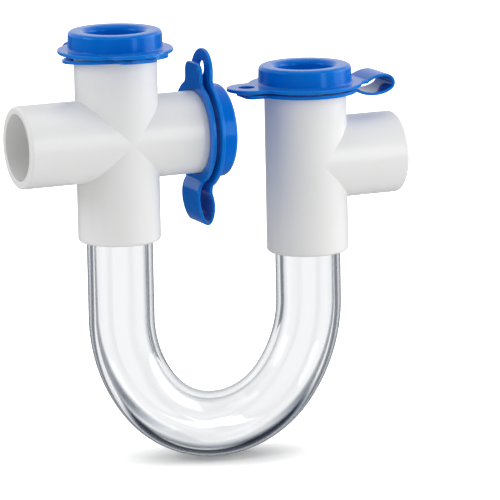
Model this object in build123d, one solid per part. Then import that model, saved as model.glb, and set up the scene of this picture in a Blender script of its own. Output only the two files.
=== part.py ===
from build123d import *
from math import acos, degrees, radians, sin, sqrt, tan
import os

# Condensate trap: a clear U-shaped tube set into two white socket fittings,
# with a tethered push-in cap on each spare socket.
# Millimetres, +Z up, +X along the flow. The origin is the centre of the inlet socket's mouth.

# Pipe and socket
PIPE_OUTER_D = 26.67
PIPE_WALL = 2.87
SOCKET_CLEARANCE = 0.12
SOCKET_DEPTH = 22.0
HUB_WALL = 3.25
HUB_EDGE_ROUND = 1.3
MOUTH_CHAMFER = 0.35

# Fittings, each arm measured from the crossing of the axes to its end
CROSS_ARM = 43.0
CROSS_SIDE_ARM = 43.8
CROSS_LEG = 41.2
TEE_TOP_ARM = 38.0
TEE_OUTLET_ARM = 39.0
TEE_LEG = 37.6
LEG_SPACING = 82.6
OUTLET_DROP = 15.7

# Clear tube: straight legs, an arc down each side and a tighter one at the bottom. The side
# arcs' radius is wider than half the legs' spacing, and the bottom arc's is smaller than it.
TRAP_DEPTH = 121.5
SIDE_ARC_WIDER = 13.7
BOTTOM_ARC_TIGHTER = 3.8

# Cap: a plug in the bore, a web over the rim and a skirt outside
CAP_WEB = 1.2
CAP_CLEARANCE = 0.2
PLUG_DEPTH = 9.0
PLUG_WALL = 1.4
PLUG_FLOOR = 1.5
PLUG_DRAFT = 0.3
SKIRT_WALL = 2.2
SKIRT_DRAFT = 0.3
SKIRT_ROUND = 1.6
SKIRT_FOOT_FILLET = 0.8
LIP_ROUND = 2.4

# Cap flange, with a finger tab on one side and the strap's root on the other
FLANGE_DROP = 7.4
FLANGE_RIM = 4.1
FLANGE_THICKNESS = 1.5
TAB_WIDTH = 20.5
TAB_SIDE = 2.75
TAB_BLEND = 4.2
TAB_HOLE_D = 6.5
TAB_HOLE_INSET = 8.0
ROOT_SIDE = 3.0
ROOT_BLEND = 3.0

# Tether: a loose ring round the neck and a looped strap back to the flange
RING_CLEARANCE = 0.4
RING_RIM = 4.2
RING_THICKNESS = 1.5
RING_TAB_WIDTH = 15.5
RING_TAB_SIDE = 8.5
RING_TAB_ROUND = 4.0
RING_TAB_BLEND = 3.0
STRAP_WIDTH = 17.0
STRAP_THICKNESS = 1.2
LOOP_SHOULDER = 4.2

# Sizes that the pieces share
PIPE_R = PIPE_OUTER_D / 2
WATERWAY_R = PIPE_R - PIPE_WALL
SOCKET_R = PIPE_R + SOCKET_CLEARANCE
HUB_R = SOCKET_R + HUB_WALL
SKIRT_BORE_R = HUB_R + CAP_CLEARANCE
SKIRT_R = SKIRT_BORE_R + SKIRT_WALL
FLANGE_R = SKIRT_R + FLANGE_RIM
FLANGE_TOP = CAP_WEB - FLANGE_DROP
FLANGE_BOTTOM = FLANGE_TOP - FLANGE_THICKNESS
FLANGE_MIDDLE = (FLANGE_TOP + FLANGE_BOTTOM) / 2
RING_BORE_R = HUB_R + RING_CLEARANCE
RING_R = RING_BORE_R + RING_RIM
# The line that the flange's front bends up from, under the middle of the skirt's wall
BEND_X = (SKIRT_BORE_R + SKIRT_R) / 2

# Directions and centres
LEFT = Vector(-1, 0, 0)
RIGHT = Vector(1, 0, 0)
FRONT = Vector(0, -1, 0)
UP = Vector(0, 0, 1)
DOWN = Vector(0, 0, -1)
CROSS_CENTRE = Vector(CROSS_ARM, 0, 0)
TEE_CENTRE = CROSS_CENTRE + Vector(LEG_SPACING, 0, -OUTLET_DROP)

# Each cap: the socket's end, the way it faces and the way its tab points. Then how the soft
# moulding lies there: the ring's gap below the flange where it is smallest, the ring's tilt and
# the tab's lift in degrees, how far the strap's loop reaches out from the flange, how far its
# nose sags, the half height of the nose, how far the strap is led up as it leaves the flange
# and down as it leaves the ring
CAPS = {
    "cross_top_cap": {
        "end": CROSS_CENTRE + UP * CROSS_ARM,
        "facing": UP,
        "tab_way": FRONT,
        "gap": 0.3,
        "tilt": 5.0,
        "lift": 6.5,
        "reach": 12.2,
        "sag": 1.6,
        "nose": 2.6,
        "rise": 0.0,
        "dip": 3.4,
    },
    "cross_side_cap": {
        "end": CROSS_CENTRE + RIGHT * CROSS_SIDE_ARM,
        "facing": RIGHT,
        "tab_way": UP,
        "gap": 1.6,
        "tilt": 0.0,
        "lift": 4.0,
        "reach": 12.2,
        "sag": 0.0,
        "nose": 2.4,
        "rise": 2.4,
        "dip": 4.8,
    },
    "tee_cap": {
        "end": TEE_CENTRE + UP * TEE_TOP_ARM,
        "facing": UP,
        "tab_way": LEFT,
        "gap": 1.0,
        "tilt": 0.0,
        "lift": 0.0,
        "reach": 11.4,
        "sag": 0.0,
        "nose": 4.3,
        "rise": 3.4,
        "dip": 4.5,
    },
}

STAND_UP = (Align.CENTER, Align.CENTER, Align.MIN)


def rod(start, direction, length, radius):
    """A plain cylinder from a point along a direction."""
    return Plane(origin=start, z_dir=direction) * Cylinder(radius, length, align=STAND_UP)


def hub(centre, direction, length):
    """One arm's outside, with the outer edge of its end rounded."""
    arm = rod(centre, direction, length, HUB_R)
    end_edge = arm.edges().filter_by(GeomType.CIRCLE).sort_by(Axis(centre, direction))[-1]
    return fillet(end_edge, HUB_EDGE_ROUND)


def hollow(centre, direction, length):
    """The space inside one arm: waterway, socket and the chamfer at the socket's mouth."""
    inward = Plane(origin=centre + direction * length, z_dir=-direction)
    waterway = rod(centre, direction, length, WATERWAY_R)
    socket = inward * Cylinder(SOCKET_R, SOCKET_DEPTH, align=STAND_UP)
    lead_in = inward * Cone(SOCKET_R + MOUTH_CHAMFER, SOCKET_R, MOUTH_CHAMFER, align=STAND_UP)
    return waterway + socket + lead_in


def fitting(centre, arms):
    """A moulded fitting whose arms, given as direction and length, meet at one centre."""
    body = Part() + [hub(centre, direction, length) for direction, length in arms]
    return body - [hollow(centre, direction, length) for direction, length in arms]


def inlet_cross():
    """Cross with the inlet on the left, the tube below and a cap on each other arm."""
    arms = [(LEFT, CROSS_ARM), (UP, CROSS_ARM), (RIGHT, CROSS_SIDE_ARM), (DOWN, CROSS_LEG)]
    return fitting(CROSS_CENTRE, arms)


def outlet_tee():
    """Tee with the outlet on the right, the tube below and a cap on top."""
    arms = [(UP, TEE_TOP_ARM), (RIGHT, TEE_OUTLET_ARM), (DOWN, TEE_LEG)]
    return fitting(TEE_CENTRE, arms)


def tube_route():
    """Centre line of the U: leg, side arc, bottom arc, side arc and leg, all tangent."""
    half = LEG_SPACING / 2
    side_r = half + SIDE_ARC_WIDER
    bottom_r = half - BOTTOM_ARC_TIGHTER
    left_x = CROSS_CENTRE.X
    right_x = left_x + LEG_SPACING
    # The angle that a side arc turns before the bottom arc takes over
    side_turn = degrees(acos(SIDE_ARC_WIDER / (side_r - bottom_r)))
    bottom_centre_z = CROSS_CENTRE.Z - TRAP_DEPTH + bottom_r
    arc_start_z = bottom_centre_z + (side_r - bottom_r) * sin(radians(side_turn))
    left_end_z = CROSS_CENTRE.Z - CROSS_LEG + SOCKET_DEPTH
    right_end_z = TEE_CENTRE.Z - TEE_LEG + SOCKET_DEPTH
    left_arc = CenterArc((left_x + side_r, arc_start_z), side_r, 180, side_turn)
    right_arc = CenterArc((right_x - side_r, arc_start_z), side_r, -side_turn, side_turn)
    bottom_arc = CenterArc(
        (left_x + half, bottom_centre_z),
        bottom_r,
        180 + side_turn,
        180 - 2 * side_turn,
    )
    return Curve() + [
        Line((left_x, left_end_z), (left_x, arc_start_z)),
        left_arc,
        bottom_arc,
        right_arc,
        Line((right_x, arc_start_z), (right_x, right_end_z)),
    ]


def trap_tube():
    """The clear tube, its ends seated on the stops at the foot of both lower sockets."""
    route = Plane.XZ * tube_route()
    start = CROSS_CENTRE + DOWN * (CROSS_LEG - SOCKET_DEPTH)
    section = Plane(origin=start, z_dir=DOWN) * (Circle(PIPE_R) - Circle(WATERWAY_R))
    return sweep(section, path=route)


def corner(sketch, place):
    """The corner of a sketch at one place."""
    return sketch.vertices().sort_by_distance(place)[0]


def disc_crossing(radius, width):
    """How far out a strip of some width leaves a disc."""
    return sqrt(radius**2 - (width / 2) ** 2)


def cap_shell():
    """The turned form of a cap: recessed plug, web over the rim, and skirt."""
    plug_r = SOCKET_R - CAP_CLEARANCE
    recess_r = plug_r - PLUG_WALL
    collar_r = SKIRT_R + SKIRT_FOOT_FILLET + SKIRT_DRAFT
    recess_floor = PLUG_FLOOR - PLUG_DEPTH
    lip = (recess_r, CAP_WEB)
    top_edge = (SKIRT_R - SKIRT_DRAFT, CAP_WEB)
    skirt_foot = (SKIRT_R, FLANGE_TOP)
    outline = Polyline(
        (0, recess_floor),
        (recess_r - PLUG_DRAFT, recess_floor),
        lip,
        top_edge,
        skirt_foot,
        (collar_r, FLANGE_TOP),
        (collar_r, FLANGE_BOTTOM),
        (SKIRT_BORE_R, FLANGE_BOTTOM),
        (SKIRT_BORE_R, 0),
        (plug_r, 0),
        (plug_r - PLUG_DRAFT, -PLUG_DEPTH),
        (0, -PLUG_DEPTH),
        close=True,
    )
    section = make_face(outline)
    section = fillet(corner(section, top_edge), SKIRT_ROUND)
    section = fillet(corner(section, lip), LIP_ROUND)
    section = fillet(corner(section, skirt_foot), SKIRT_FOOT_FILLET)
    return revolve(Plane.XZ * section, Axis.Z)


def blended(outline, disc_r, width, radius, way):
    """An outline with the inner corners rounded where a strip leaves the disc."""
    out = way * disc_crossing(disc_r, width)
    for y in (-width / 2, width / 2):
        outline = fillet(corner(outline, (out, y)), radius)
    return outline


def cap_plate(tab_lift):
    """The flange plate with the strap's root; its front, with the tab, is bent up by some degrees."""
    tab_r = TAB_WIDTH / 2
    tab_centre = disc_crossing(FLANGE_R, TAB_WIDTH) + TAB_SIDE
    root_end = disc_crossing(FLANGE_R, STRAP_WIDTH) + ROOT_SIDE
    disc = Circle(FLANGE_R)
    root = Pos(-root_end / 2, 0) * Rectangle(root_end, STRAP_WIDTH)
    tab = Pos(tab_centre / 2, 0) * Rectangle(tab_centre, TAB_WIDTH)
    tab += Pos(tab_centre, 0) * Circle(tab_r)
    rear = blended(disc + root, FLANGE_R, STRAP_WIDTH, ROOT_BLEND, -1)
    front = blended(disc + tab, FLANGE_R, TAB_WIDTH, TAB_BLEND, 1)
    front -= Pos(tab_centre + tab_r - TAB_HOLE_INSET, 0) * Circle(TAB_HOLE_D / 2)
    front &= Pos(BEND_X + FLANGE_R, 0) * Rectangle(2 * FLANGE_R, 2 * FLANGE_R)
    rear &= Pos(BEND_X - FLANGE_R, 0) * Rectangle(2 * FLANGE_R, 2 * FLANGE_R)
    rear_plate = extrude(rear - Circle(SKIRT_BORE_R), FLANGE_THICKNESS)
    bend = Pos(BEND_X, 0, 0) * Rot(0, -tab_lift, 0) * Pos(-BEND_X, 0, 0)
    front_plate = bend * extrude(front - Circle(SKIRT_BORE_R), FLANGE_THICKNESS)
    return Pos(0, 0, FLANGE_BOTTOM) * (rear_plate + front_plate)


def cap(tab_lift):
    """The part of a cap that pulls off, with the socket's end at the origin and the tab at +X."""
    return cap_shell() + cap_plate(tab_lift)


def ring_plate():
    """The ring, its narrower tab at +X, lying on the XY plane."""
    reach = disc_crossing(RING_R, RING_TAB_WIDTH) + RING_TAB_SIDE
    tab = Pos(reach / 2, 0) * Rectangle(reach, RING_TAB_WIDTH)
    tab = fillet(tab.vertices().group_by(Axis.X)[-1], RING_TAB_ROUND)
    outline = blended(Circle(RING_R) + tab, RING_R, RING_TAB_WIDTH, RING_TAB_BLEND, 1)
    return extrude(outline - Circle(RING_BORE_R), RING_THICKNESS)


def strap(ring_middle, tilt, reach, sag, nose, rise, dip):
    """The looped strap: from the flange's root, round its nose and back into the ring."""
    root_end = disc_crossing(FLANGE_R, STRAP_WIDTH) + ROOT_SIDE
    tip = root_end + reach
    join = RING_R - RING_RIM / 2
    join_z = ring_middle - join * tan(radians(tilt))
    nose_z = (FLANGE_MIDDLE + join_z) / 2 - sag
    start = (-root_end + 0.75 * STRAP_THICKNESS, FLANGE_MIDDLE - STRAP_THICKNESS / 4)
    upper = Bezier(
        start,
        (-root_end - LOOP_SHOULDER, FLANGE_MIDDLE + rise),
        (-tip, nose_z + nose),
        (-tip, nose_z),
    )
    lower = Bezier(
        (-tip, nose_z),
        (-tip, nose_z - nose),
        (-join - LOOP_SHOULDER, join_z - dip),
        (-join, join_z),
    )
    route = Plane.XZ * (Curve() + [upper, lower])
    section = Plane(origin=route @ 0, x_dir=(0, 1, 0), z_dir=route % 0)
    band = sweep(section * Rectangle(STRAP_WIDTH, STRAP_THICKNESS), path=route)
    # The strap's end is trimmed flat, face to face with the root on the flange
    flange_side = Pos(-root_end, 0, FLANGE_BOTTOM - STRAP_THICKNESS / 2) * Box(
        root_end,
        STRAP_WIDTH * 2,
        CAP_WEB - FLANGE_BOTTOM,
        align=(Align.MIN, Align.CENTER, Align.MIN),
    )
    return band - flange_side


def tether(gap, tilt, reach, sag, nose, rise, dip):
    """The part of a cap that stays on the neck: ring and strap."""
    # The tilted ring comes nearest to the flange along the bend line
    ring_bottom = FLANGE_BOTTOM - gap - BEND_X * tan(radians(tilt)) - RING_THICKNESS
    ring = Pos(0, 0, ring_bottom) * Rot(0, -tilt, 0) * ring_plate()
    return ring + strap(ring_bottom + RING_THICKNESS / 2, tilt, reach, sag, nose, rise, dip)


def model():
    """Every piece under its name."""
    pieces = {
        "inlet_cross": inlet_cross(),
        "outlet_tee": outlet_tee(),
        "trap_tube": trap_tube(),
    }
    for name, lie in CAPS.items():
        place = Plane(origin=lie["end"], x_dir=lie["tab_way"], z_dir=lie["facing"])
        pieces[name] = place * cap(lie["lift"])
        pieces[name + "_tether"] = place * tether(
            lie["gap"],
            lie["tilt"],
            lie["reach"],
            lie["sag"],
            lie["nose"],
            lie["rise"],
            lie["dip"],
        )
    return pieces


os.makedirs("parts", exist_ok=True)
for node, solid in model().items():
    export_step(solid, f"parts/{node}.step")
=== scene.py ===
"""Condensate trap: a clear U tube in two white fittings, with tethered blue caps.

The white fittings are the CAD nodes. The clear tube, the caps and their tethers are built here
at the CAD's sizes with finer surfaces and rounded edges. Shapes are worked out in millimetres,
and the set, which is a white floor, a studio and a camera, in metres.
"""

from math import acos, cos, degrees, pi, radians, sin, sqrt, tan

import bmesh
import bpy
import numpy as np
from mathutils import Matrix, Vector
from mathutils.geometry import delaunay_2d_cdt


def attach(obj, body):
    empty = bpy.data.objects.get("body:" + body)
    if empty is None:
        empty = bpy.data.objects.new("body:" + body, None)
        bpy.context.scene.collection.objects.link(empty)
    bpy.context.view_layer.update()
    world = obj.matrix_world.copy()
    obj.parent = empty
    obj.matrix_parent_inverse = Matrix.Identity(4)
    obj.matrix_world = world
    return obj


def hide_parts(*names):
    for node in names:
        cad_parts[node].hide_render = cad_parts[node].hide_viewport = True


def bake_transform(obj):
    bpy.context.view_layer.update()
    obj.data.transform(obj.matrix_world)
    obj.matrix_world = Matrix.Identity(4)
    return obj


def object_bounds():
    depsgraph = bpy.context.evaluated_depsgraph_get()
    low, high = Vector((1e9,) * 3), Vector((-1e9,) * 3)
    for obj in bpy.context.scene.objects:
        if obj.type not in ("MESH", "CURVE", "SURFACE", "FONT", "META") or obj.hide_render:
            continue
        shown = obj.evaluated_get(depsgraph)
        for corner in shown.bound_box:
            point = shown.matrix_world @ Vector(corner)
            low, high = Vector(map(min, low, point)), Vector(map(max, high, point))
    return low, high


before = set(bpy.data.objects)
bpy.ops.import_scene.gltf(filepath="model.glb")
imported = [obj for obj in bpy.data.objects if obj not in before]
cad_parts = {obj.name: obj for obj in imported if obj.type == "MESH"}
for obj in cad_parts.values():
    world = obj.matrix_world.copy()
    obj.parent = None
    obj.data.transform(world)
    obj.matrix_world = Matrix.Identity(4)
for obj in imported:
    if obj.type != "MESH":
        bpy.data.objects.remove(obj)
cad_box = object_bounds()

MM = 0.001

# Sizes of the CAD, in millimetres
PIPE_R = 13.335
WATERWAY_R = 10.465
CROSS_X = 43.0
TEE_X = 125.6
TEE_Z = -15.7
CROSS_LEG_END = -19.2
TEE_LEG_END = -31.3
TRAP_DEPTH = 121.5
SIDE_ARC_R = 55.0
BOTTOM_ARC_R = 37.5

CAP_WEB = 1.2
PLUG_R = 13.255
PLUG_DEPTH = 9.0
PLUG_DRAFT = 0.3
RECESS_R = 11.855
RECESS_FLOOR = -7.5
SKIRT_BORE_R = 16.905
SKIRT_R = 19.105
SKIRT_DRAFT = 0.3
FLANGE_R = 23.205
FLANGE_TOP = -6.2
FLANGE_BOTTOM = -7.7
TAB_WIDTH = 20.5
TAB_SIDE = 2.75
TAB_BLEND = 4.2
TAB_HOLE_R = 3.25
TAB_HOLE_INSET = 8.0
ROOT_SIDE = 3.0
ROOT_BLEND = 3.0
RING_BORE_R = 17.105
RING_R = 21.305
RING_THICKNESS = 1.5
RING_TAB_WIDTH = 15.5
RING_TAB_SIDE = 8.5
RING_TAB_ROUND = 4.0
RING_TAB_BLEND = 3.0
STRAP_WIDTH = 17.0
STRAP_THICKNESS = 1.2
LOOP_SHOULDER = 4.2
BEND_X = (SKIRT_BORE_R + SKIRT_R) / 2
ROOT_END = sqrt(FLANGE_R**2 - STRAP_WIDTH**2 / 4) + ROOT_SIDE

FOOT_X = (CROSS_X + TEE_X) / 2

# Rounded edges of the visible pieces, and how far points may lie apart, in millimetres
FLANGE_EDGE = 0.4
RING_EDGE = 0.35
STRAP_EDGE = 0.45
OUTLINE_STEP = 0.7
FACE_STEP = 1.5
GRID_SHIFT = (0.37, 0.29)
SAME_POINT = 0.02
WELD = 0.002

# Steps along arcs, in degrees, and points along edges, straps and legs
CORNER_STEP = 11.0
DISC_STEP = 3.0
HOLE_STEP = 10.0
SIDE_ARC_STEP = 1.2
BOTTOM_ARC_STEP = 1.5
EDGE_LEVELS = 5
STRAP_POINTS = 110
LEG_POINTS = 40

# The photo's view is turned this many degrees from the object's front, and the studio with it
CAMERA_YAW = 23.25

# The set, in metres; each lamp has a name, a place, a width, a height and a power in watts
FLOOR_GAP = 0.0002
LAMP_AIM = (0.08, 0, -0.05)
LAMPS = (
    ("right", (1.3, -0.40, 0.30), 0.9, 0.9, 6.0),
    ("front right strip", (0.60, -1.15, 0.10), 0.28, 0.9, 3.0),
    ("left", (-1.1, 0.1, 0.50), 0.6, 0.6, 3.4),
    ("top", (0.1, -0.1, 1.3), 1.0, 1.0, 3.4),
)

# Where each cap sits, and how its soft moulding lies there: the gap between flange and ring,
# the ring's tilt and the tab's lift in degrees, and the strap loop's reach, sag and handles
CAPS = {
    "cross_top": {
        "end": (CROSS_X, 0, 43.0),
        "tab": (0, -1, 0),
        "facing": (0, 0, 1),
        "gap": 0.3,
        "tilt": 5.0,
        "lift": 6.5,
        "reach": 12.2,
        "sag": 1.6,
        "nose": 2.6,
        "rise": 0.0,
        "dip": 3.4,
    },
    "cross_side": {
        "end": (CROSS_X + 43.8, 0, 0),
        "tab": (0, 0, 1),
        "facing": (1, 0, 0),
        "gap": 1.6,
        "tilt": 0.0,
        "lift": 4.0,
        "reach": 12.2,
        "sag": 0.0,
        "nose": 2.4,
        "rise": 2.4,
        "dip": 4.8,
    },
    "tee": {
        "end": (TEE_X, 0, TEE_Z + 38.0),
        "tab": (-1, 0, 0),
        "facing": (0, 0, 1),
        "gap": 1.0,
        "tilt": 0.0,
        "lift": 0.0,
        "reach": 11.4,
        "sag": 0.0,
        "nose": 4.3,
        "rise": 3.4,
        "dip": 4.5,
    },
}


# Outlines and profiles, as arrays of 2-D points


def arc(centre, radius, start, end, step=4.0):
    """Points on an arc, from one angle to another in degrees."""
    count = max(3, int(abs(end - start) / step) + 1)
    angles = np.radians(np.linspace(start, end, count))
    return np.array(centre) + radius * np.stack([np.cos(angles), np.sin(angles)], 1)


def hole_outline(x, radius, step):
    """A closed circle on the X axis that runs clockwise, as the outline of a hole."""
    return arc((x, 0), radius, 0, step - 360, step)


def rounded(corners, radii, closed=False):
    """A chain of points with each corner rounded to its own radius."""
    corners = [np.array(c, float) for c in corners]
    result = []
    for i, (here, radius) in enumerate(zip(corners, radii)):
        if radius == 0 or (not closed and i in (0, len(corners) - 1)):
            result.append(here[None])
            continue
        before = corners[i - 1] - here
        after = corners[(i + 1) % len(corners)] - here
        before /= np.linalg.norm(before)
        after /= np.linalg.norm(after)
        half = acos(np.clip(before @ after, -1, 1)) / 2
        centre = here + (before + after) / np.linalg.norm(before + after) * radius / sin(half)
        start = here + before * radius / tan(half) - centre
        end = here + after * radius / tan(half) - centre
        a0 = degrees(np.arctan2(start[1], start[0]))
        turn = (degrees(np.arctan2(end[1], end[0])) - a0 + 180) % 360 - 180
        result.append(arc(centre, radius, a0, a0 + turn, CORNER_STEP))
    return np.concatenate(result)


def blend_onto_disc(disc_r, half_width, radius):
    """The inner corner where a strip leaves a disc along +X, from the strip to the disc."""
    x = sqrt((disc_r + radius) ** 2 - (half_width + radius) ** 2)
    y = half_width + radius
    to_disc = degrees(np.arctan2(y, x)) - 180
    return arc((x, y), radius, -90, to_disc), degrees(np.arctan2(y, x))


def mirrored_loop(upper):
    """A closed outline from its upper half, which runs from +X round to -X."""
    lower = upper[::-1] * (1, -1)
    loop = np.concatenate([upper, lower])
    keep = np.linalg.norm(loop - np.roll(loop, 1, 0), axis=1) > SAME_POINT
    return loop[keep]


def spaced(loop):
    """A closed outline with points added along its long straight runs."""
    result = []
    for a, b in zip(loop, np.roll(loop, -1, 0)):
        count = max(1, int(np.linalg.norm(b - a) / OUTLINE_STEP))
        result += [a + (b - a) * t / count for t in range(count)]
    return np.array(result)


def cap_outline():
    """The flange with its finger tab at +X and the strap's root at -X."""
    tab_r = TAB_WIDTH / 2
    tab_x = sqrt(FLANGE_R**2 - tab_r**2) + TAB_SIDE
    tab_blend, tab_angle = blend_onto_disc(FLANGE_R, tab_r, TAB_BLEND)
    root_blend, root_angle = blend_onto_disc(FLANGE_R, STRAP_WIDTH / 2, ROOT_BLEND)
    upper = [
        arc((tab_x, 0), tab_r, 0, 90),
        tab_blend,
        arc((0, 0), FLANGE_R, tab_angle, 180 - root_angle, DISC_STEP),
        root_blend[::-1] * (-1, 1),
        [(-ROOT_END, STRAP_WIDTH / 2)],
        [(-ROOT_END, 0)],
    ]
    hole = hole_outline(tab_x + tab_r - TAB_HOLE_INSET, TAB_HOLE_R, HOLE_STEP)
    bore = hole_outline(0, SKIRT_BORE_R, DISC_STEP)
    return spaced(mirrored_loop(np.concatenate(upper))), [hole, bore]


def ring_outline():
    """The tether's ring with its narrow tab at +X."""
    half = RING_TAB_WIDTH / 2
    tip_x = sqrt(RING_R**2 - half**2) + RING_TAB_SIDE
    blend, angle = blend_onto_disc(RING_R, half, RING_TAB_BLEND)
    corner = (tip_x - RING_TAB_ROUND, half - RING_TAB_ROUND)
    upper = [
        [(tip_x, 0)],
        arc(corner, RING_TAB_ROUND, 0, 90),
        blend,
        arc((0, 0), RING_R, angle, 180, DISC_STEP),
    ]
    bore = hole_outline(0, RING_BORE_R, DISC_STEP)
    return spaced(mirrored_loop(np.concatenate(upper))), [bore]


def cap_profile():
    """Half section of a cap's recessed plug, web and skirt, as radius and height."""
    foot_r = SKIRT_R + 0.8
    foot_z = FLANGE_TOP - 0.4
    skirt_bore_r = SKIRT_BORE_R + 0.02
    corner_and_radius = [
        ((0, RECESS_FLOOR), 0),
        ((RECESS_R - PLUG_DRAFT, RECESS_FLOOR), 0.5),
        ((RECESS_R, CAP_WEB), 2.4),
        ((SKIRT_R - SKIRT_DRAFT, CAP_WEB), 1.6),
        ((SKIRT_R, FLANGE_TOP), 0.79),
        ((foot_r, FLANGE_TOP), 0),
        ((foot_r, foot_z), 0),
        ((skirt_bore_r, foot_z), 0),
        ((skirt_bore_r, 0), 0.3),
        ((PLUG_R, 0), 0.3),
        ((PLUG_R - PLUG_DRAFT, -PLUG_DEPTH), 0.6),
        ((0, -PLUG_DEPTH), 0),
    ]
    return rounded(*zip(*corner_and_radius))


# Meshes, as arrays of points and lists of faces


def lathe(profile, segments=160):
    """A profile of radius and height turned about Z."""
    angles = np.linspace(0, 2 * pi, segments, endpoint=False)
    points = []
    rows = []
    for radius, height in profile:
        start = len(points)
        if radius < 1e-9:
            points.append((0, 0, height))
            rows.append([start] * segments)
        else:
            points += [(radius * cos(a), radius * sin(a), height) for a in angles]
            rows.append(list(range(start, start + segments)))
    faces = []
    for low, high in zip(rows, rows[1:]):
        for i in range(segments):
            j = (i + 1) % segments
            faces.append(list(dict.fromkeys((low[i], low[j], high[j], high[i]))))
    return np.array(points), faces


def inside(points, loop):
    """Which points lie inside a closed outline."""
    x, y = points[:, 0], points[:, 1]
    result = np.zeros(len(points), bool)
    for (x0, y0), (x1, y1) in zip(loop, np.roll(loop, -1, 0)):
        if y0 == y1:
            continue
        crosses = ((y0 > y) != (y1 > y)) & (x < (x1 - x0) * (y - y0) / (y1 - y0) + x0)
        result ^= crosses
    return result


def offset(loop, distance):
    """An outline moved sideways, to the left of its direction."""
    along = np.roll(loop, -1, 0) - np.roll(loop, 1, 0)
    along /= np.linalg.norm(along, axis=1)[:, None]
    return loop + distance * np.stack([-along[:, 1], along[:, 0]], 1)


def flat_face(loops):
    """Triangles that fill the first loop around the others, with points spread inside."""
    low, high = loops[0].min(0), loops[0].max(0)
    grid = np.stack(np.meshgrid(*[np.arange(a, b, FACE_STEP) for a, b in zip(low, high)]), -1)
    grid = grid.reshape(-1, 2) + GRID_SHIFT
    grid = grid[inside(grid, offset(loops[0], FACE_STEP / 2))]
    for hole in loops[1:]:
        grid = grid[~inside(grid, offset(hole, -FACE_STEP / 2))]
    edges = []
    count = 0
    for loop in loops:
        edges += [(count + i, count + (i + 1) % len(loop)) for i in range(len(loop))]
        count += len(loop)
    points = np.concatenate(loops + [grid])
    found = delaunay_2d_cdt([Vector(p) for p in points], edges, [], 0, 1e-7)
    filled = np.array([tuple(v) for v in found[0]])
    triangles = np.array(found[2])
    middle = filled[triangles].mean(1)
    keep = inside(middle, loops[0])
    for hole in loops[1:]:
        keep &= ~inside(middle, hole)
    return filled, triangles[keep]


def plate(outline, holes, bottom, top, edge):
    """A flat plate with holes, its edges rounded top and bottom."""
    levels = []
    for t in np.radians(np.linspace(0, 90, EDGE_LEVELS)):
        levels.append((edge * (1 - sin(t)), bottom + edge * (1 - cos(t))))
    for t in np.radians(np.linspace(90, 0, EDGE_LEVELS)):
        levels.append((edge * (1 - sin(t)), top - edge * (1 - cos(t))))
    points = []
    faces = []
    for loop in [outline] + holes:
        start = len(points)
        count = len(loop)
        for inset, height in levels:
            points += [(x, y, height) for x, y in offset(loop, inset)]
        for k in range(len(levels) - 1):
            for i in range(count):
                j = (i + 1) % count
                a = start + k * count
                b = a + count
                faces.append((a + i, a + j, b + j, b + i))
    for height, turned in ((bottom, True), (top, False)):
        filled, triangles = flat_face([offset(loop, edge) for loop in [outline] + holes])
        start = len(points)
        points += [(x, y, height) for x, y in filled]
        for triangle in triangles:
            triangle = [start + int(i) for i in triangle]
            faces.append(triangle[::-1] if turned else triangle)
    return np.array(points), faces


def sweep(route, section, closed_ends=True):
    """A section swept along a route in the XZ plane; the section's points are (side, out)."""
    along = np.gradient(route, axis=0)
    along /= np.linalg.norm(along, axis=1)[:, None]
    out = np.stack([-along[:, 1], along[:, 0]], 1)
    rings = []
    for place, way in zip(route, out):
        flat = place + section[:, 1:] * way
        rings.append(np.stack([flat[:, 0], section[:, 0], flat[:, 1]], 1))
    count = len(section)
    faces = []
    for k in range(len(route) - 1):
        a = k * count
        b = a + count
        for i in range(count):
            j = (i + 1) % count
            faces.append((a + i, a + j, b + j, b + i))
    if closed_ends:
        last = (len(route) - 1) * count
        faces.append(tuple(range(count))[::-1])
        faces.append(tuple(range(last, last + count)))
    return np.concatenate(rings), faces


def bezier(a, b, c, d):
    """Points on a cubic curve between two ends, a and d, with two handles."""
    t = np.linspace(0, 1, STRAP_POINTS)[:, None]
    a, b, c, d = (np.array(p, float) for p in (a, b, c, d))
    return (1 - t) ** 3 * a + 3 * (1 - t) ** 2 * t * b + 3 * (1 - t) * t**2 * c + t**3 * d


def ring_bottom(lie):
    """The height of the ring's underside on the neck's axis."""
    return FLANGE_BOTTOM - lie["gap"] - BEND_X * tan(radians(lie["tilt"])) - RING_THICKNESS


def strap_route(lie):
    """The strap's middle line from the flange's root round its nose and into the ring."""
    tip = ROOT_END + lie["reach"]
    flange_middle = (FLANGE_TOP + FLANGE_BOTTOM) / 2
    ring_middle = ring_bottom(lie) + RING_THICKNESS / 2
    join = (RING_R + RING_BORE_R) / 2
    join_z = ring_middle - join * tan(radians(lie["tilt"]))
    nose_z = (flange_middle + join_z) / 2 - lie["sag"]
    upper = bezier(
        (-ROOT_END + 0.75 * STRAP_THICKNESS, flange_middle - STRAP_THICKNESS / 4),
        (-ROOT_END - LOOP_SHOULDER, flange_middle + lie["rise"]),
        (-tip, nose_z + lie["nose"]),
        (-tip, nose_z),
    )
    lower = bezier(
        (-tip, nose_z),
        (-tip, nose_z - lie["nose"]),
        (-join - LOOP_SHOULDER, join_z - lie["dip"]),
        (-join, join_z),
    )
    return np.concatenate([upper, lower[1:]])


def strap_section():
    """The strap's cross section, a flat strip with rounded edges."""
    x = STRAP_WIDTH / 2
    y = STRAP_THICKNESS / 2
    return rounded([(-x, -y), (x, -y), (x, y), (-x, y)], [STRAP_EDGE] * 4, closed=True)


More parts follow.
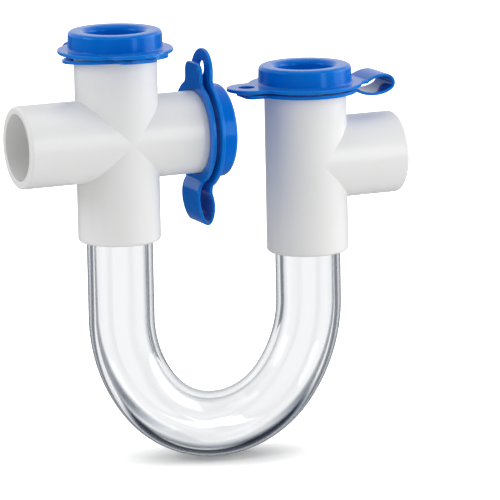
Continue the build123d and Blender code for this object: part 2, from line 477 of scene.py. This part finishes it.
def tube_route():
    """Centre line of the U: leg, side arc, bottom arc, side arc and leg."""
    half = (TEE_X - CROSS_X) / 2
    bottom_z = BOTTOM_ARC_R - TRAP_DEPTH
    turn = degrees(acos((SIDE_ARC_R - half) / (SIDE_ARC_R - BOTTOM_ARC_R)))
    side_z = bottom_z + (SIDE_ARC_R - BOTTOM_ARC_R) * sin(radians(turn))
    left_leg = np.linspace((CROSS_X, CROSS_LEG_END), (CROSS_X, side_z), LEG_POINTS)
    right_leg = np.linspace((TEE_X, side_z), (TEE_X, TEE_LEG_END), LEG_POINTS)
    bottom_start = 180 + turn
    left = (CROSS_X + SIDE_ARC_R, side_z)
    middle = (CROSS_X + half, bottom_z)
    right = (TEE_X - SIDE_ARC_R, side_z)
    left_arc = arc(left, SIDE_ARC_R, 180, bottom_start, SIDE_ARC_STEP)
    bottom_arc = arc(middle, BOTTOM_ARC_R, bottom_start, 360 - turn, BOTTOM_ARC_STEP)
    right_arc = arc(right, SIDE_ARC_R, -turn, 0, SIDE_ARC_STEP)
    return np.concatenate([left_leg, left_arc[1:], bottom_arc[1:], right_arc[1:], right_leg[1:]])


def tube_mesh(segments=120):
    """The clear tube: an outer and an inner wall joined by a ring at each end."""
    route = tube_route()
    angles = np.linspace(0, 2 * pi, segments, endpoint=False)
    circle = np.stack([np.cos(angles), np.sin(angles)], 1)
    outer, outer_faces = sweep(route, circle * PIPE_R, closed_ends=False)
    inner, inner_faces = sweep(route, circle * WATERWAY_R, closed_ends=False)
    base = len(outer)
    last = base - segments
    faces = outer_faces + [tuple(base + i for i in face[::-1]) for face in inner_faces]
    for i in range(segments):
        j = (i + 1) % segments
        faces.append((j, i, base + i, base + j))
        faces.append((last + i, last + j, base + last + j, base + last + i))
    return np.concatenate([outer, inner]), faces


# Objects


def build(name, pieces, place, material):
    """One object from several meshes in millimetres, set in place, with smooth shading."""
    points = []
    faces = []
    for verts, polygons in pieces:
        base = len(points)
        points += [place @ Vector(v) * MM for v in verts]
        faces += [tuple(base + i for i in polygon) for polygon in polygons]
    mesh = bpy.data.meshes.new(name)
    mesh.from_pydata(points, [], faces)
    mesh.polygons.foreach_set("use_smooth", [True] * len(mesh.polygons))
    mesh.validate()
    mesh.materials.append(material)
    piece = bpy.data.objects.new(name, mesh)
    bpy.context.scene.collection.objects.link(piece)
    return piece


def clean(piece):
    """Welds a piece's seams, turns its faces outward and keeps its flat faces flat."""
    work = bmesh.new()
    work.from_mesh(piece.data)
    bmesh.ops.remove_doubles(work, verts=work.verts, dist=WELD * MM)
    bmesh.ops.recalc_face_normals(work, faces=work.faces)
    work.to_mesh(piece.data)
    work.free()
    weighted = piece.modifiers.new("flat faces", "WEIGHTED_NORMAL")
    weighted.weight = 100
    weighted.keep_sharp = True


def socket_place(lie):
    """The matrix from a cap's own frame, tab at +X and outward at +Z, to the row frame."""
    x = Vector(lie["tab"])
    z = Vector(lie["facing"])
    turn = Matrix((x, z.cross(x), z)).transposed()
    return Matrix.Translation(lie["end"]) @ turn.to_4x4()


def bent(points, lift):
    """A plate's points with its front bent up by some degrees."""
    points = points.copy()
    turn = radians(lift)
    beyond = points[:, 0] > BEND_X
    x = points[beyond, 0] - BEND_X
    z = points[beyond, 2] - FLANGE_BOTTOM
    points[beyond, 0] = BEND_X + x * cos(turn) - z * sin(turn)
    points[beyond, 2] = FLANGE_BOTTOM + x * sin(turn) + z * cos(turn)
    return points


def tilted(points, tilt):
    """A ring's points, turned so that its tab at +X rises."""
    turn = radians(tilt)
    x = points[:, 0] * cos(turn) - points[:, 2] * sin(turn)
    z = points[:, 0] * sin(turn) + points[:, 2] * cos(turn)
    return np.stack([x, points[:, 1], z], 1)


def make_cap(name, lie, material):
    """The part of a cap that pulls off."""
    outline, holes = cap_outline()
    flange, faces = plate(outline, holes, FLANGE_BOTTOM, FLANGE_TOP, FLANGE_EDGE)
    pieces = [(bent(flange, lie["lift"]), faces), lathe(cap_profile())]
    cap = build(name + "_cap_moulding", pieces, socket_place(lie), material)
    clean(cap)
    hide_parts(name + "_cap")
    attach(cap, name + "_cap_body")


def make_tether(name, lie, material):
    """The part of a cap that stays on the neck: its ring and its strap."""
    place = socket_place(lie)
    outline, holes = ring_outline()
    ring, faces = plate(outline, holes, 0, RING_THICKNESS, RING_EDGE)
    ring = tilted(ring, lie["tilt"])
    ring[:, 2] += ring_bottom(lie)
    pieces = [(ring, faces), sweep(strap_route(lie), strap_section())]
    tether = build(name + "_tether_moulding", pieces, place, material)
    clean(tether)
    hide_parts(name + "_cap_tether")
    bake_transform(tether)


# Materials


def new_material(name):
    """A node material and its main shader."""
    material = bpy.data.materials.new(name)
    material.use_nodes = True
    return material, material.node_tree, material.node_tree.nodes["Principled BSDF"]


def noise(tree, scale, detail=3.0, roughness=0.5):
    """Noise in the object's own space, in metres; returns its value socket."""
    coords = tree.nodes.new("ShaderNodeTexCoord")
    texture = tree.nodes.new("ShaderNodeTexNoise")
    texture.inputs["Scale"].default_value = scale
    texture.inputs["Detail"].default_value = detail
    texture.inputs["Roughness"].default_value = roughness
    tree.links.new(coords.outputs["Object"], texture.inputs["Vector"])
    return texture.outputs["Fac"]


def remap(tree, value, target, span=(0.3, 0.7)):
    """A value mapped from a span of its own onto a target range, and held at its ends."""
    node = tree.nodes.new("ShaderNodeMapRange")
    node.inputs["From Min"].default_value = span[0]
    node.inputs["From Max"].default_value = span[1]
    node.inputs["To Min"].default_value = target[0]
    node.inputs["To Max"].default_value = target[1]
    tree.links.new(value, node.inputs["Value"])
    return node.outputs["Result"]


def tones(tree, value, *stops):
    """A colour that runs through tones as a value rises; each stop is a value and a tone."""
    ramp = tree.nodes.new("ShaderNodeValToRGB")
    elements = ramp.color_ramp.elements
    elements[1].position = stops[-1][0]
    elements[1].color = (*stops[-1][1], 1)
    elements[0].position = stops[0][0]
    elements[0].color = (*stops[0][1], 1)
    for position, tone in stops[1:-1]:
        elements.new(position).color = (*tone, 1)
    tree.links.new(value, ramp.inputs["Fac"])
    return ramp.outputs["Color"]


def bump(tree, shader, value, strength, distance):
    """Fine relief on a shader, its distance in metres."""
    node = tree.nodes.new("ShaderNodeBump")
    node.inputs["Strength"].default_value = strength
    node.inputs["Distance"].default_value = distance
    tree.links.new(value, node.inputs["Height"])
    tree.links.new(node.outputs["Normal"], shader.inputs["Normal"])


def white_plastic():
    """Moulded white plastic: faint clouding, a satin skin and very fine relief."""
    material, tree, shader = new_material("white_plastic")
    cloud = noise(tree, 28.0, 4.0)
    tone = tones(tree, cloud, (0.3, (0.85, 0.85, 0.845)), (0.7, (0.88, 0.88, 0.875)))
    tree.links.new(tone, shader.inputs["Base Color"])
    skin = noise(tree, 260.0, 4.0, 0.6)
    tree.links.new(remap(tree, skin, (0.25, 0.27)), shader.inputs["Roughness"])
    bump(tree, shader, noise(tree, 1400.0, 2.0), 0.08, 0.00006)
    return material


def blue_plastic():
    """Soft blue plastic: a silky skin, slightly uneven colour and a painted highlight on its convex
    edges.
    """
    material, tree, shader = new_material("blue_plastic")
    cloud = noise(tree, 45.0)
    tone = tones(tree, cloud, (0.3, (0.0, 0.143, 0.62)), (0.7, (0.0, 0.160, 0.66)))
    # Painted highlight: convex edges, found by pointiness, are mixed towards a lighter blue.
    geometry = tree.nodes.new("ShaderNodeNewGeometry")
    edge = tree.nodes.new("ShaderNodeMix")
    edge.data_type = "RGBA"
    painted_edge_highlight = remap(tree, geometry.outputs["Pointiness"], (0.0, 0.8), (0.51, 0.57))
    tree.links.new(painted_edge_highlight, edge.inputs["Factor"])
    tree.links.new(tone, edge.inputs["A"])
    edge.inputs["B"].default_value = (0.02, 0.32, 0.86, 1)
    tree.links.new(edge.outputs["Result"], shader.inputs["Base Color"])
    shader.inputs["Specular IOR Level"].default_value = 0.4
    shader.inputs["Specular Tint"].default_value = (0.25, 0.6, 1.0, 1)
    skin = noise(tree, 320.0, 4.0, 0.6)
    tree.links.new(remap(tree, skin, (0.15, 0.20)), shader.inputs["Roughness"])
    bump(tree, shader, noise(tree, 1700.0, 2.0), 0.08, 0.00006)
    return material


def clear_plastic():
    """Clear plastic: a polished, faintly wavy wall that refracts, with painted shade that darkens
    it at grazing.
    """
    material, tree, shader = new_material("clear_plastic")
    # Painted shade: the base colour turns dark at grazing and draws dark outlines along the walls.
    edge = tree.nodes.new("ShaderNodeLayerWeight")
    edge.inputs["Blend"].default_value = 0.5
    tone = tones(
        tree,
        edge.outputs["Facing"],
        (0.2, (0.970, 0.976, 0.983)),
        (0.5, (0.965, 0.972, 0.980)),
        (0.72, (0.22, 0.26, 0.31)),
        (0.96, (0.04, 0.05, 0.07)),
    )
    tree.links.new(tone, shader.inputs["Base Color"])
    shader.inputs["Transmission Weight"].default_value = 1.0
    shader.inputs["IOR"].default_value = 1.49
    film = noise(tree, 90.0)
    tree.links.new(remap(tree, film, (0.0, 0.02)), shader.inputs["Roughness"])
    bump(tree, shader, noise(tree, 18.0, 0.0), 0.03, 0.0004)
    return material


# The set: floor, light and camera


def calc(tree, operation, *values):
    """A maths node on sockets and numbers; returns its result."""
    node = tree.nodes.new("ShaderNodeMath")
    node.operation = operation
    for i, value in enumerate(values):
        if isinstance(value, (int, float)):
            node.inputs[i].default_value = value
        else:
            tree.links.new(value, node.inputs[i])
    return node.outputs["Value"]


def product(tree, *values):
    """Sockets and numbers multiplied."""
    result = values[0]
    for value in values[1:]:
        result = calc(tree, "MULTIPLY", result, value)
    return result


def squares(tree, a, b):
    """The sum of two squares."""
    return calc(tree, "ADD", product(tree, a, a), product(tree, b, b))


def view_axes(tree, x, y):
    """The parts of a direction over the floor that run along and across the photo's view."""
    turn = radians(CAMERA_YAW)
    along = calc(tree, "ADD", product(tree, x, sin(turn)), product(tree, y, cos(turn)))
    across = calc(tree, "SUBTRACT", product(tree, x, cos(turn)), product(tree, y, sin(turn)))
    return along, across


def painted_dark_flags(tree, along, across):
    """How dark the studio is in a direction over the floor: painted dark flags stand at the
    diagonals.

    They draw the dark outlines of clear plastic in front of a white ground.
    """
    diagonal = calc(tree, "ABSOLUTE", product(tree, along, across))
    ratio = calc(tree, "DIVIDE", diagonal, squares(tree, along, across))
    return remap(tree, ratio, (0.0, 1.0), (0.43, 0.49))


def floor_seen(tree, along, across, away):
    """What the floor glows with, so that its shadow ends in a flat oval and the rest is white."""
    oval = calc(tree, "SQRT", squares(tree, along, product(tree, across, 0.6)))
    near = remap(tree, oval, (0.04, 0.80), (0.009, 0.034))
    far = remap(tree, away, (0.0, 0.5), (0.15, 0.6))
    return calc(tree, "ADD", near, far)


def floor_refracted(tree, x, y, along, across, away):
    """What the clear tube refracts: a white floor, the painted dark flags and a painted shade under
    the bend.
    """
    oval = calc(tree, "SQRT", squares(tree, product(tree, x, 0.38), y))
    slant = tree.nodes.new("ShaderNodeLayerWeight")
    slant.inputs["Blend"].default_value = 0.5
    steep = remap(tree, slant.outputs["Facing"], (1.0, 0.0), (0.38, 0.62))
    not_upright = remap(tree, slant.outputs["Facing"], (0.0, 1.0), (0.08, 0.16))
    under = remap(tree, oval, (1.0, 0.0), (0.024, 0.040))
    outward = remap(tree, away, (0.2, 0.80), (0.035, 0.08))
    painted_flags = product(tree, painted_dark_flags(tree, along, across), outward)
    # Painted shade: darker under the bend for steep refracted rays, and at the painted dark flags
    dark = calc(tree, "MAXIMUM", product(tree, steep, not_upright, under), painted_flags)
    return tones(
        tree,
        dark,
        (0.0, (1, 1, 1)),
        (0.5, (0.36, 0.39, 0.44)),
        (1.0, (0.02, 0.027, 0.04)),
    )


def floor_material():
    """White, with the object's shadow; gloss and the clear tube see their own floor."""
    material, tree, shader = new_material("floor")
    shader.inputs["Base Color"].default_value = (0.88, 0.88, 0.88, 1)
    shader.inputs["Roughness"].default_value = 0.9
    shader.inputs["Specular IOR Level"].default_value = 0.0
    coords = tree.nodes.new("ShaderNodeTexCoord")
    split = tree.nodes.new("ShaderNodeSeparateXYZ")
    tree.links.new(coords.outputs["Object"], split.inputs["Vector"])
    x = calc(tree, "SUBTRACT", split.outputs["X"], FOOT_X * MM)
    y = split.outputs["Y"]
    along, across = view_axes(tree, x, y)
    away = calc(tree, "SQRT", squares(tree, x, y))

    light_path = tree.nodes.new("ShaderNodeLightPath")
    seen = product(tree, light_path.outputs["Is Camera Ray"], floor_seen(tree, along, across, away))
    shader.inputs["Emission Color"].default_value = (1, 1, 1, 1)
    tree.links.new(seen, shader.inputs["Emission Strength"])

    glow = tree.nodes.new("ShaderNodeEmission")
    tone = floor_refracted(tree, x, y, along, across, away)
    tree.links.new(tone, glow.inputs["Color"])
    # Gloss sees a darker floor, which keeps the blue deep
    mirrored = light_path.outputs["Is Glossy Ray"]
    refracted = light_path.outputs["Is Transmission Ray"]
    level = calc(tree, "MAXIMUM", refracted, product(tree, mirrored, 0.25))
    tree.links.new(level, glow.inputs["Strength"])

    mix = tree.nodes.new("ShaderNodeMixShader")
    tree.links.new(calc(tree, "MAXIMUM", refracted, mirrored), mix.inputs["Fac"])
    tree.links.new(shader.outputs["BSDF"], mix.inputs[1])
    tree.links.new(glow.outputs["Emission"], mix.inputs[2])
    tree.links.new(mix.outputs["Shader"], tree.nodes["Material Output"].inputs["Surface"])
    return material


def make_floor(height, reach=4.0):
    """A square floor under the object."""
    mesh = bpy.data.meshes.new("floor")
    corners = [(-reach, -reach), (reach, -reach), (reach, reach), (-reach, reach)]
    mesh.from_pydata([(x, y, height) for x, y in corners], [], [(0, 1, 2, 3)])
    mesh.materials.append(floor_material())
    floor = bpy.data.objects.new("floor", mesh)
    bpy.context.scene.collection.objects.link(floor)


def make_world():
    """The sky: white to the camera, brighter at the sides as light, with painted dark flags for the
    tube.
    """
    world = bpy.data.worlds.new("studio")
    world.use_nodes = True
    tree = world.node_tree
    background = tree.nodes["Background"]
    background.inputs["Color"].default_value = (1, 1, 1, 1)
    coords = tree.nodes.new("ShaderNodeTexCoord")
    split = tree.nodes.new("ShaderNodeSeparateXYZ")
    tree.links.new(coords.outputs["Generated"], split.inputs["Vector"])
    light_path = tree.nodes.new("ShaderNodeLightPath")
    along, across = view_axes(tree, split.outputs["X"], split.outputs["Y"])

    # The clear tube refracts a white studio with painted shade, darker high up and at the painted
    # dark flags
    high = remap(tree, split.outputs["Z"], (0.0, 0.75), (0.35, 0.75))
    dark = calc(tree, "MAXIMUM", high, painted_dark_flags(tree, along, across))
    studio = calc(tree, "SUBTRACT", 1.0, product(tree, dark, 0.87))
    refracted = product(tree, light_path.outputs["Is Transmission Ray"], studio)

    # Gloss mirrors a backdrop that is brighter behind the object than in front of it
    backdrop = remap(tree, along, (0.12, 0.9), (-0.2, 0.4))
    mirrored = product(tree, light_path.outputs["Is Glossy Ray"], backdrop)

    # As light the sky is dimmer in front and behind than at the sides
    sides = remap(tree, product(tree, across, across), (0.40, 0.95), (0.0, 1.0))
    diffuse = product(tree, light_path.outputs["Is Diffuse Ray"], sides)

    strength = light_path.outputs["Is Camera Ray"]
    for part in (mirrored, refracted, diffuse):
        strength = calc(tree, "MAXIMUM", strength, part)
    tree.links.new(strength, background.inputs["Strength"])
    bpy.context.scene.world = world


def softbox(name, place, width, height, power):
    """A rectangular area lamp that faces the object."""
    lamp = bpy.data.lights.new(name, "AREA")
    lamp.shape = "RECTANGLE"
    lamp.size = width
    lamp.size_y = height
    lamp.energy = power
    holder = bpy.data.objects.new(name, lamp)
    holder.location = place
    aim = Vector(LAMP_AIM) - Vector(place)
    holder.rotation_euler = aim.to_track_quat("-Z", "Y").to_euler()
    bpy.context.scene.collection.objects.link(holder)


def make_camera():
    """The photo's viewpoint: from the front, a little left and above, with a long lens."""
    yaw = radians(-CAMERA_YAW)
    pitch = radians(11.38)
    roll = radians(-1.1)
    distance = 2034.6
    target = Vector((99.91, 0, -51.0))
    back = Vector((sin(yaw) * cos(pitch), -cos(yaw) * cos(pitch), sin(pitch)))
    right = Vector((cos(yaw), sin(yaw), 0))
    up = back.cross(right)
    turned_right = right * cos(roll) + up * sin(roll)
    turned_up = up * cos(roll) - right * sin(roll)
    data = bpy.data.cameras.new("camera")
    data.sensor_width = 36
    data.lens = 360
    data.clip_end = 100
    camera = bpy.data.objects.new("camera", data)
    basis = Matrix((turned_right, turned_up, back)).transposed()
    camera.matrix_world = Matrix.Translation((target + back * distance) * MM) @ basis.to_4x4()
    bpy.context.scene.collection.objects.link(camera)
    bpy.context.scene.camera = camera


white = white_plastic()
blue = blue_plastic()
clear = clear_plastic()

for node in ("inlet_cross", "outlet_tee"):
    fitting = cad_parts[node]
    fitting.data.materials.clear()
    fitting.data.materials.append(white)

tube = build("trap_tube_wall", [tube_mesh()], Matrix.Identity(4), clear)
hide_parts("trap_tube")
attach(tube, "trap_body")

for name, lie in CAPS.items():
    make_cap(name, lie, blue)
    make_tether(name, lie, blue)

make_floor(cad_box[0][2] - FLOOR_GAP)
make_world()
for lamp in LAMPS:
    softbox(*lamp)
make_camera()
bpy.context.scene.view_settings.view_transform = "Standard"
